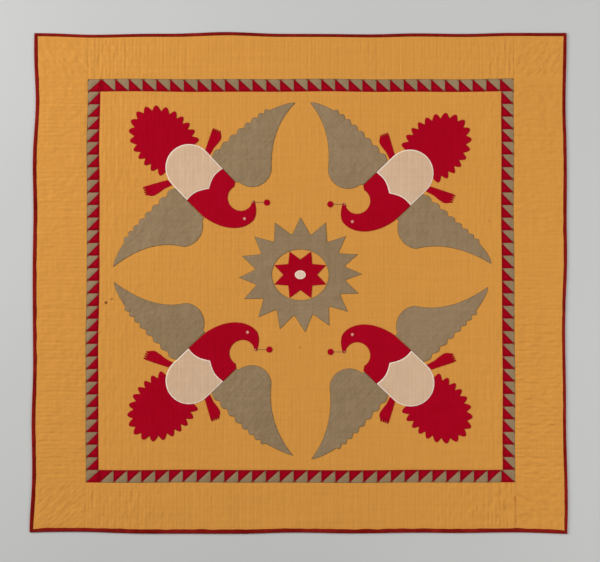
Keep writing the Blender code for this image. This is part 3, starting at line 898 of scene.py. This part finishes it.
def laid_cloth(name, outlines, turnings, steps, face, stitching, cloth, floor):
    """Lays a cut piece on the face below it: cut flat, scored into a grid, raised in relief."""
    bm = cut_cloth(outlines, turnings)
    spans = [[MM * point[axis] for point in outlines[0]] for axis in (0, 1)]
    for axis, step in enumerate(steps):
        first, last = (math.ceil(end / MM / step) for end in (min(spans[axis]), max(spans[axis])))
        for line in range(first, last):
            everything = [*bm.verts, *bm.edges, *bm.faces]
            spot, across = [0.0, 0.0, 0.0], [0.0, 0.0, 0.0]
            spot[axis], across[axis] = line * step * MM, 1.0
            bmesh.ops.bisect_plane(bm, geom=everything, dist=1e-6, plane_co=spot, plane_no=across)
    from_edge = bm.verts.layers.float["from_edge"]
    drawn = bm.verts.layers.float_vector.new("drawn")
    for vert in bm.verts:
        x, y = vert.co.x / MM, vert.co.y / MM
        vert[drawn] = (x, y, 0.0)
        vert.co = [MM * value for value in (*eased(x, y), floor(x, y) + GAP)]
    mark_lines(bm, drawn, stitching)
    for vert in double(bm):
        x, y = vert[drawn].x, vert[drawn].y
        hem = floor(x, y) + GAP + HEM_THICK
        filled = soft(0.25 + 0.75 * vert[from_edge] / (sum(TURNING) * MM))
        if vert[from_edge] < 0.1 * MM:
            filled = 0.0
        vert.co.z = MM * (hem + (face(x, y) - hem) * filled)
    return finished(bm, name, cloth)


def plain_face(x, y):
    return field_face(x, y) + GAP + APPLIQUE_THICK


def quilted_through(x, y, puffed, below, own):
    """Face of an applique that is quilted through: its own relief mixed with that below."""
    level = GROOVE + THROUGH_STAND + THROUGH_RISE * puffed + lie(x, y)
    return max(field_face(x, y) + GAP + LEAST_THICK, below * plain_face(x, y) + own * level)


def sun_count(x, y):
    wide, high = SUN_OPENING
    away = math.hypot(x - MEDALLION[0], (y - MEDALLION[1]) * wide / high)
    return (away - wide) / RING_PITCH + 0.5


def sun_face(x, y):
    ring = swell(sun_count(x, y)) * (0.5 + 0.7 * waver(x, y, 34.0, 34.0, 12.0))
    ring += 0.5 * waver(x, y, 15.0, 15.0, 13.0)
    return quilted_through(x, y, ring, 0.3, 0.7)


def sun_stitching(x, y, middle):
    turn = math.atan2(middle.y - MEDALLION[1], middle.x - MEDALLION[0])
    side = math.atan2(y - MEDALLION[1], x - MEDALLION[0])
    if abs(side - turn) > math.pi:
        side += math.copysign(2.0 * math.pi, turn - side)
    return sun_count(x, y), side * 0.14


def centred(outline):
    return [(MEDALLION[0] + x, MEDALLION[1] + y) for x, y in outline]


def laid_in(slot, node, outline, hole=0.0):
    """Hides the CAD part, node, that a laid piece replaces, and works out the area and size of the
    cloth it was cut from, which nothing uses. The slot is not used.
    """
    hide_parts(node)
    area = (cut_area(outline) - hole) * MM * MM
    size = extent(outline)
    area = min(area, size[0] * size[1])


opening = arc((0.0, 0.0), SUN_OPENING, 0.0, 357.0, 119)
sun = laid_cloth(
    "sun_ring_cloth",
    [centred(sun_outline()), centred(opening)],
    TURNING,
    FINE_GRID,
    sun_face,
    sun_stitching,
    olive_cotton,
    field_face,
)
laid_in("olive_cotton", "sun_ring", sun_outline(), cut_area(opening))

star = laid_cloth(
    "star_cloth",
    [centred(star_outline())],
    TURNING,
    PLAIN_GRID,
    plain_face,
    field_stitching,
    red_cotton,
    field_face,
)
laid_in("red_cotton", "star", star_outline())

oval_outline = arc((0.0, 0.0), STAR_CENTRE, 0.0, 350.0, 35)
oval = laid_cloth(
    "star_centre_cloth",
    [centred(oval_outline)],
    (1.0, 2.4),
    (3.8, 6.0),
    lambda x, y: plain_face(x, y) + GAP + OVAL_THICK,
    field_stitching,
    cream_cotton,
    plain_face,
)
laid_in("cream_cotton", "star_centre", oval_outline)

# Four birds

# Each bird is laid on in parts with turned edges: a round red tail of petals, a cream body, a red
# head and neck with a hooked beak, two olive-grey wings stepped along the back, two short red legs
# and a berry, with a dot of cream for its eye. The four mirror each other round the sun.

BIRDS = [
    # name, tip of the fore wing, tip of the aft wing, middle x, middle y, turn in degrees,
    # mirrored in x, mirrored in y
    ("top_left", (75.0, 463.0), (52.0, 469.0), -411.0, 419.0, -2.6, 1, 1),
    ("top_right", (65.0, 455.0), (-6.0, 461.0), 396.0, 399.0, 0.0, -1, 1),
    ("bottom_left", (62.0, 478.0), (29.0, 471.0), -407.0, -356.0, 0.0, 1, -1),
    ("bottom_right", (46.0, 467.0), (17.0, 468.0), 395.5, -364.5, 0.0, -1, -1),
]
HEADING = -44.0
BODY_HALF = 90.5
BODY_END = -20.0
BODY_REACH = 94.0
NECK = 62.5
THROAT = 136.0
WINGS = {
    # side of the bird: (heel of the root, its front past the shoulder's middle, shoulder's
    # middle, its radius, where it starts in degrees, pull of the front edge)
    1: (6.0, -1.0, (113.0, 175.0), 75.0, -84.0, (42.0, 322.0)),
    -1: (-4.0, 36.0, (100.5, 172.0), 79.0, -62.0, (44.0, 290.0)),
}
BERRY, BERRY_RADIUS = (276.0, 125.0), 12.0
EYE, EYE_RADIUS = (262.0, 20.0), 6.2
EYE_THICK = 0.8
WING_PITCH = 15.0


def bend(start, pull, end, t):
    """The point a share t of the way along a curve that leans towards pull."""
    keep = 1.0 - t
    x = keep * keep * start[0] + 2.0 * keep * t * pull[0] + t * t * end[0]
    y = keep * keep * start[1] + 2.0 * keep * t * pull[1] + t * t * end[1]
    return x, y


def petal(f):
    """Swell of one tooth of an edge, with f from 0 to 1 across it: round tip, round notch."""
    return math.sin(math.pi * f) ** 1.2


def neckline(shift):
    """Two shallow scoops that meet in a peak, from the -v side to the +v side."""
    points = []
    for s in evenly(-1.0, 1.0, 24):
        scoop = 23.0 * (1.0 - abs(s)) - 11.0 * math.sin(math.pi * abs(s))
        points.append((NECK + 3.5 * s + scoop + shift, BODY_HALF * s))
    return points


def body_outline():
    return arc((BODY_END, 0.0), (BODY_REACH, BODY_HALF), 90.0, 270.0, 40) + neckline(0.0)


def tail_outline():
    """A long round of petals, widest near the body and cut back along its end."""
    middle, reach, half = -157.0, 157.0, 117.0
    petals, opening, depth, fine = 17, 46.0, 20.0, 10
    pitch = (360.0 - 2.0 * opening) / petals
    points = []
    for step in range(fine * petals + 1):
        share = math.radians(opening + pitch * step / fine)
        angle = share + 0.11 * math.sin(2.0 * share)
        cut = depth * (1.0 - petal(step % fine / fine))
        points.append((middle + (reach - cut) * math.cos(angle), (half - cut) * math.sin(angle)))
    return points + arc((BODY_END, 0.0), (BODY_REACH + GAP, BODY_HALF + GAP), 234.0, 126.0, 24)


def head_outline():
    """Neck and round head, with the blunt beak hooked back over an open bay."""
    beak = [(245.0, 92.0), (241.0, 94.5), (236.5, 94.5), (234.0, 91.0), (234.5, 86.0)]
    crown = arc((105.0, 35.0), (185.0, 127.0), -77.5, 3.0, 36)
    hook = [bend(crown[-1], (284.0, 70.0), beak[0], t) for t in evenly(0.1, 0.9, 8)]
    bay = arc((194.0, 62.0), (49.0, 47.0), 16.0, -196.0, 44)
    edge = neckline(GAP)
    return [*edge[:1], *crown, *hook, *beak, *bay, (THROAT, BODY_HALF), *edge[:0:-1]]


def wing_outline(side, tip):
    """Round shoulder, long hollowed point, and a back edge of steps down to the root."""
    root = BODY_HALF + 2.0 * GAP
    heel, front, (middle_u, middle_v), radius, start, (pull_u, pull_v) = WINGS[side]
    middle_u += 0.35 * tip[0]
    shoulder = arc((middle_u, middle_v), (radius, radius), start, 40.0, 24)
    pull = (pull_u + 0.5 * tip[0], pull_v)
    lead = [bend(shoulder[-1], pull, tip, t) for t in evenly(0.06, 1.0, 16)]
    turned = (0.7 * tip[0] - 25.0, 372.0)
    back = [bend(tip, (tip[0] - 20.0, 450.0), turned, t) for t in evenly(0.1, 0.9, 8)]
    inward = (0.45 * turned[0] - 10.0, 275.0)
    steps, fine = 8, 8
    for point in range(fine * steps):
        u, v = bend(turned, inward, (heel, root), point / (fine * steps))
        swollen = petal(point % fine / fine)
        back.append((u - 10.0 * swollen, v + 3.0 * swollen))
    outline = [(middle_u + front, root), *shoulder, *lead, *back, (heel, root)]
    return [(u, side * v) for u, v in outline]


def leg_outline(side):
    """A leg that widens, most on its front side, to a foot of four short toes."""
    root = BODY_HALF + 2.0 * GAP
    back, length = (0.0, 1.0) if side > 0 else (15.0, 1.12)

    def at(distance, offset):
        reach = length * distance
        return -19.0 - back - 0.4 * reach + 0.917 * offset, root + 0.917 * reach + 0.4 * offset

    toes, foot = 4, 34.0
    outline = [(-31.0 - back, root), at(42.0, -14.0), at(84.0, -17.0)]
    for toe in range(toes):
        middle = foot * ((toe + 0.5) / toes - 0.5)
        outline += [at(92.0, middle - 2.9), at(94.4, middle - 1.0), at(94.4, middle + 1.0)]
        outline.append(at(92.0, middle + 2.9))
        if toe < toes - 1:
            outline.append(at(82.5, middle + foot / toes / 2.0))
    outline += [at(84.0, 20.0), at(76.0, 25.5), at(66.0, 28.0), at(48.0, 24.0), at(26.0, 16.5)]
    outline.append((-5.0 - back, root))
    return [(u, side * v) for u, v in outline]


def on_bird(outline, middle_x, middle_y, turn, mirror_x, mirror_y):
    """Turns a bird's own u (tail to head) and v into the drawing's x and y."""
    heading = math.radians(HEADING + turn)
    cos, sin = math.cos(heading), math.sin(heading)
    placed = []
    for u, v in outline:
        x = middle_x + mirror_x * (u * cos - v * sin)
        placed.append((x, middle_y + mirror_y * (u * sin + v * cos)))
    return placed


def in_bird(x, y, middle_x, middle_y, turn, mirror_x, mirror_y):
    """Turns a point of the drawing back into a bird's own u and v."""
    heading = math.radians(HEADING + turn)
    cos, sin = math.cos(heading), math.sin(heading)
    out_x, out_y = (x - middle_x) * mirror_x, (y - middle_y) * mirror_y
    return out_x * cos + out_y * sin, out_y * cos - out_x * sin


def wing_face(spot):
    """Relief of a wing: lines along its length, crossed in places by a slacker set."""

    def face(x, y):
        u, v = in_bird(x, y, *spot)
        crossed = soft(0.5 + 1.6 * waver(x, y, 90.0, 90.0, 21.0))
        puffed = 0.30 * swell(u / WING_PITCH)
        puffed += 0.30 * (crossed * swell(v / WING_PITCH) + 1.0 - crossed)
        puffed += 1.20 * waver(u, v, 10.0, 26.0, 14.0)
        puffed += 1.20 * waver(u, v, 28.0, 11.0, 15.0)
        return quilted_through(x, y, puffed, 0.25, 0.75)

    return face


def wing_stitching(spot):
    def stitching(x, y, middle):
        u, v = in_bird(x, y, *spot)
        return u / WING_PITCH, v * MM

    return stitching


# The dots of the eyes have taken up a little of the red round them.
eye_cotton = cotton(
    "tinged cream cotton",
    dye=(0.720, 0.300, 0.230),
    worn=(0.760, 0.340, 0.260),
    # Darker tint: painted shade in the stitched lines and the specks' tint.
    groove_shade_and_speck=(0.600, 0.220, 0.170),
    hem=(0.520, 0.110, 0.095),
    hem_width=0.0014,
)
berry_outline = arc(BERRY, (BERRY_RADIUS, BERRY_RADIUS), 0.0, 345.0, 23)
eye_outline = arc(EYE, (EYE_RADIUS, EYE_RADIUS), 0.0, 337.5, 15)
for name, fore_tip, aft_tip, *spot in BIRDS:
    bird_pieces = [
        # piece, outline, turned edge, grid, cloth, slot
        ("tail", tail_outline(), TURNING, PLAIN_GRID, red_cotton, "red_cotton"),
        ("body", body_outline(), (1.8, 3.4), PLAIN_GRID, cream_cotton, "cream_cotton"),
        ("head", head_outline(), TURNING, PLAIN_GRID, red_cotton, "red_cotton"),
        ("wing_fore", wing_outline(1, fore_tip), TURNING, FINE_GRID, olive_cotton, "olive_cotton"),
        ("wing_aft", wing_outline(-1, aft_tip), TURNING, FINE_GRID, olive_cotton, "olive_cotton"),
        ("leg_fore", leg_outline(1), (0.8, 1.6), PLAIN_GRID, red_cotton, "red_cotton"),
        ("leg_aft", leg_outline(-1), (0.8, 1.6), PLAIN_GRID, red_cotton, "red_cotton"),
        ("berry", berry_outline, TURNING, (3.8, 5.0), red_cotton, "red_cotton"),
    ]
    for piece, outline, turned, grid, cloth, slot in bird_pieces:
        winged = piece.startswith("wing")
        part = laid_cloth(
            f"{piece}_cloth_{name}",
            [on_bird(outline, *spot)],
            turned,
            grid,
            wing_face(spot) if winged else plain_face,
            wing_stitching(spot) if winged else field_stitching,
            cloth,
            field_face,
        )
        laid_in(slot, f"{piece}_{name}", outline)
    eye = laid_cloth(
        f"eye_cloth_{name}",
        [on_bird(eye_outline, *spot)],
        (1.0, 1.6),
        (3.8, 6.0),
        lambda x, y: plain_face(x, y) + GAP + EYE_THICK,
        field_stitching,
        eye_cotton,
        plain_face,
    )
    laid_in("cream_cotton", f"eye_{name}", eye_outline)

# Embroidered stems

# Each berry hangs from the beak on a thin stem, worked in stem stitch with olive-grey thread, and
# a small knot of cream thread sits on the beak where the stem starts.

STEM_START = (240.0, 90.0)
STITCH_LENGTH, STITCH_PITCH, STITCH_THICK, STITCH_SLANT = 8.0, 4.6, 1.9, 0.12
KNOT_LENGTH, KNOT_THICK, KNOT_BACK = 4.6, 1.8, 3.0
ON_BEAK, ON_FIELD, BEAK_LAP = 1.9, 0.5, 6.0


def embroidery_thread(name, dye, pale):
    """Loosely twisted cotton thread, its plies painted as slanting pale and darker bands in step
    with their bump: painted highlight and shade of the twist.
    """
    thread, tree, shader = new_look(name)
    place = put(tree, "TexCoord").outputs["Object"]
    bands = {"Vector": place, "Scale": 420.0, "Distortion": 1.5}
    plies = put(tree, "TexWave", bands, bands_direction="DIAGONAL")
    tints = ((*tint, 1.0) for tint in (dye, pale))
    tree.links.new(tinted(tree, plies.outputs["Fac"], *tints), shader.inputs["Base Color"])
    ply = plies.outputs["Fac"]
    tree.links.new(ramp(tree, ply, 0.0, 1.0, 0.85, 0.7), shader.inputs["Roughness"])
    bump = put(tree, "Bump", {"Height": ply, "Distance": 0.0002, "Strength": 0.8})
    tree.links.new(bump.outputs["Normal"], shader.inputs["Normal"])
    return thread


# Each thread's two tints are the painted shade and the painted highlight of its plies.
olive_thread = embroidery_thread("olive thread", (0.10, 0.068, 0.035), (0.19, 0.135, 0.080))
cream_thread = embroidery_thread("cream thread", (0.55, 0.36, 0.26), (0.70, 0.52, 0.40))


def add_stitch(bm, middle, along, length, thick):
    """One stitch: a small ball drawn out along its way and pressed to the cloth."""
    ball = bmesh.ops.create_uvsphere(bm, u_segments=10, v_segments=6, radius=0.5)["verts"]
    bmesh.ops.scale(bm, verts=ball, vec=(length * MM, thick * MM, 0.8 * thick * MM))
    turn = math.atan2(along[1], along[0])
    lean = Vector((math.cos(turn), math.sin(turn), 0))
    turned = Vector((1, 0, 0)).rotation_difference(lean).to_matrix()
    bmesh.ops.rotate(bm, verts=ball, matrix=turned)
    bmesh.ops.translate(bm, verts=ball, vec=[MM * value for value in middle])


for name, _, _, *spot in BIRDS:
    (start_x, start_y), (end_x, end_y) = on_bird([STEM_START, BERRY], *spot)
    whole = math.dist((start_x, start_y), (end_x, end_y)) - BERRY_RADIUS + 2.0
    way = (end_x - start_x, end_y - start_y)
    way = [part / math.hypot(*way) for part in way]
    stem, knot = bmesh.new(), bmesh.new()
    count = int(whole / STITCH_PITCH)
    for number in range(count):
        reach = (number + 0.5) * whole / count
        x, y = start_x + way[0] * reach, start_y + way[1] * reach
        slant = (way[0] - STITCH_SLANT * way[1], way[1] + STITCH_SLANT * way[0])
        height = field_face(x, y) + (ON_BEAK if reach < BEAK_LAP else ON_FIELD)
        add_stitch(stem, (*eased(x, y), height), slant, STITCH_LENGTH, STITCH_THICK)
    for turn in (20.0, 140.0, 260.0):
        lean = (math.cos(math.radians(turn)), math.sin(math.radians(turn)))
        x = start_x - KNOT_BACK * way[0] + 1.2 * lean[1]
        y = start_y - KNOT_BACK * way[1] - 1.2 * lean[0]
        middle = (*eased(x, y), plain_face(x, y) + ON_FIELD)
        add_stitch(knot, middle, lean, KNOT_LENGTH, KNOT_THICK)
    stem_piece = finished(stem, f"stem_{name}", olive_thread)
    knot_piece = finished(knot, f"beak_knot_{name}", cream_thread)

# Binding

# A narrow strip of deeper red cotton is folded over the raw edge of all three layers, face, edge
# and back, and sewn down along its inner side. Its corners are mitred.

BINDING_TOP = 4.3
BINDING_CLOTH = 1.0
BINDING_STEP = 9.0

binding_cotton = cotton(
    "binding cotton",
    dye=(0.180, 0.0045, 0.0028),
    worn=(0.280, 0.0130, 0.0090),
    # Darker tint: painted shade in the stitched lines and the specks' tint; hem tint: painted
    # shade along its inner edge, where it laps the border.
    groove_shade_and_speck=(0.080, 0.0020, 0.0014),
    hem=(0.105, 0.0024, 0.0016),
    hem_width=0.0011,
    slub=0.30,
    specks=1.0,
    tuck=2.0,
    crumpled=1.6,
)

LAP = {"left": 2.4, "right": 2.0, "bottom": 3.6, "top": 0.4}
inner_top = BINDING_TOP - BINDING_CLOTH
FOLD = [
    # inset from the edge, height, of the face from its inner side round the edge to the back
    (BINDING_FACE, BINDING_TOP - 0.55),
    (BINDING_FACE - 0.9, BINDING_TOP - 0.1),
    (BINDING_FACE - 2.6, BINDING_TOP + 0.15),
    (8.0, BINDING_TOP + 0.35),
    (5.0, BINDING_TOP + 0.45),
    (3.0, BINDING_TOP + 0.25),
    (1.5, BINDING_TOP - 0.25),
    (0.5, BINDING_TOP - 1.05),
    (0.0, BINDING_TOP - 2.0),
    (0.1, 1.4),
    (0.7, 0.5),
    (2.0, 0.05),
    (5.0, 0.0),
    (BINDING_FACE, 0.0),
    (BINDING_FACE, BINDING_CLOTH),
    (1.6, BINDING_CLOTH),
    (1.0, BINDING_CLOTH + 0.6),
    (1.0, inner_top - 0.6),
    (1.6, inner_top),
    (BINDING_FACE, inner_top),
]


def edge_point(side, inset, share):
    """A point of the binding: so far in from the fold, and a share from -1 to 1 along the edge."""
    axis, sign = EDGES[side]
    halves = (HALF_WIDTH, HALF_HEIGHT)
    point = [0.0, 0.0]
    point[axis] = sign * (halves[axis] - inset)
    point[1 - axis] = share * (halves[1 - axis] - inset - GAP)
    return point


def folded_edge(side, length):
    """The folded strip of one edge, with small tucks where it was eased round the layers."""
    stations = evenly(-1.0, 1.0, round(length / BINDING_STEP))
    bm = bmesh.new()
    bmesh.ops.create_grid(bm, x_segments=len(FOLD), y_segments=len(stations) - 1, size=0.5)
    from_edge = bm.verts.layers.float.new("from_edge")
    drawn = bm.verts.layers.float_vector.new("drawn")
    for vert in bm.verts:
        place = round((vert.co.x + 0.5) * len(FOLD))
        share = stations[round((vert.co.y + 0.5) * (len(stations) - 1))]
        inset, height = FOLD[place % len(FOLD)]
        along = share * length / 2.0
        if place % len(FOLD) < 2:
            lap = LAP[side] * (1.0 + 0.7 * waver(along, 3.0, 45.0, 1.0, 40.0 + len(side)))
            inset += lap * (1.0 - abs(share) ** 60)
            height += 0.22 * min(lap, 2.4)
        x, y = edge_point(side, inset, share)
        if 0 < place < 9:
            height += 0.32 * waver(along, inset, 13.0, 7.0, 30.0 + len(side))
        vert[drawn] = (along, place, 0.0)
        vert[from_edge] = abs(BINDING_FACE - inset) * MM
        vert.co = [MM * value for value in (*eased(x, y), height)]
    lines = bm.loops.layers.uv.new("quilting")
    for patch in bm.faces:
        for corner in patch.loops:
            corner[lines].uv = (0.5 - corner.vert[from_edge] * 12.0, corner.vert[drawn].x * MM)
    bmesh.ops.remove_doubles(bm, verts=bm.verts, dist=1e-6)
    bmesh.ops.holes_fill(bm, edges=bm.edges)
    return bm


for side, (axis, _) in EDGES.items():
    length = 2.0 * (HALF_HEIGHT if axis == 0 else HALF_WIDTH)
    fold = finished(folded_edge(side, length), f"{side}_fold", binding_cotton)
    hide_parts(f"binding_{side}")

# Surface, light and camera

# The quilt lies on a plain pale surface, seen from straight above. A wide soft light far out to
# the left slants over it and shows the relief, and two nearer ones even it out.

SURFACE_HALF, SURFACE_DROP = 8.0, 0.0004
floor_bm = bmesh.new()
bmesh.ops.create_grid(floor_bm, x_segments=1, y_segments=1, size=SURFACE_HALF)
bmesh.ops.translate(floor_bm, verts=floor_bm.verts, vec=(0.0, 0.0, -SURFACE_DROP))
floor_mesh = bpy.data.meshes.new("surface")
floor_bm.to_mesh(floor_mesh)
floor_bm.free()
surface = bpy.data.objects.new("surface", floor_mesh)
bpy.context.scene.collection.objects.link(surface)
pale, tree, shader = new_look("pale surface")
place = put(tree, "TexCoord").outputs["Object"]
grain = mottle(tree, place, (1.0, 1.0, 1.0), 0.4, 3.0)
tone = tinted(tree, grain, (0.60, 0.60, 0.585, 1.0), (0.63, 0.63, 0.615, 1.0))
tree.links.new(tone, shader.inputs["Base Color"])
shader.inputs["Roughness"].default_value = 0.9
floor_mesh.materials.append(pale)

LIGHTS = [
    # name, place, size, watts
    ("left light", (-6.2, 2.0, 2.8), 2.6, 469.0),
    ("right light", (3.8, -0.8, 2.4), 2.4, 89.0),
    ("top light", (0.6, 3.6, 2.6), 2.4, 28.5),
]
for name, place, size, watts in LIGHTS:
    light = bpy.data.lights.new(name, "AREA")
    light.shape = "SQUARE"
    light.size = size
    light.energy = watts
    lamp = bpy.data.objects.new(name, light)
    lamp.location = place
    lamp.rotation_euler = (-Vector(place)).to_track_quat("-Z", "Y").to_euler()
    bpy.context.scene.collection.objects.link(lamp)

world = bpy.data.worlds.new("soft room")
world.use_nodes = True
world.node_tree.nodes["Background"].inputs["Color"].default_value = (1.0, 1.0, 1.0, 1.0)
world.node_tree.nodes["Background"].inputs["Strength"].default_value = 0.21
bpy.context.scene.world = world
bpy.context.scene.view_settings.view_transform = "Standard"

camera_data = bpy.data.cameras.new("camera")
camera_data.lens = 80.0
camera = bpy.data.objects.new("camera", camera_data)
camera.location = (0.0053, 0.0085, 5.067)
bpy.context.scene.collection.objects.link(camera)
bpy.context.scene.camera = camera
